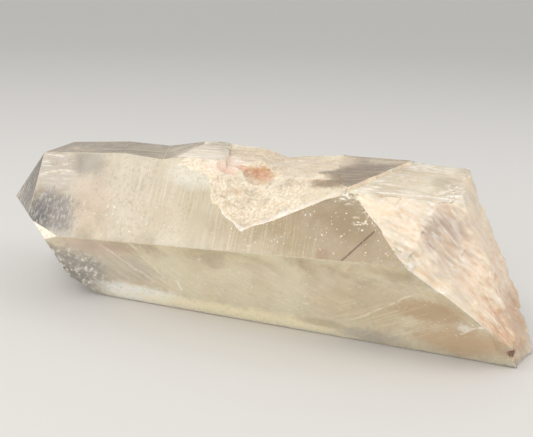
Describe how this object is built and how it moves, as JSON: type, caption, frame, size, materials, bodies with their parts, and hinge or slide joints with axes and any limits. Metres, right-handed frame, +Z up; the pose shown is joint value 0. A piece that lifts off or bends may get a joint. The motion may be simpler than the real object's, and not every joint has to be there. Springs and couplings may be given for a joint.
{
  "type": "smoky quartz point",
  "caption": "Natural smoky quartz point lying on a prism face: faceted tip, flat prism faces, a crusted crystal imprint on top and a slanted broken base.",
  "frame": {"origin": "middle of the bounding box, at the level of the surface that the crystal lies on", "axes": "+Z up, at right angles to the prism face that the crystal lies on; the crystal's c axis runs along X, with the tip toward -X and the broken base toward +X; the viewer of the picture stands on the -Y side"},
  "size_m": [0.1922, 0.0606, 0.0563],
  "materials": {
    "smoky_quartz": "clear to milky pale brown quartz, glassy on the faces, with matt broken and crusted areas"
  },
  "bodies": {
    "root": {"quartz_point": "smoky_quartz"}
  },
  "joints": []
}
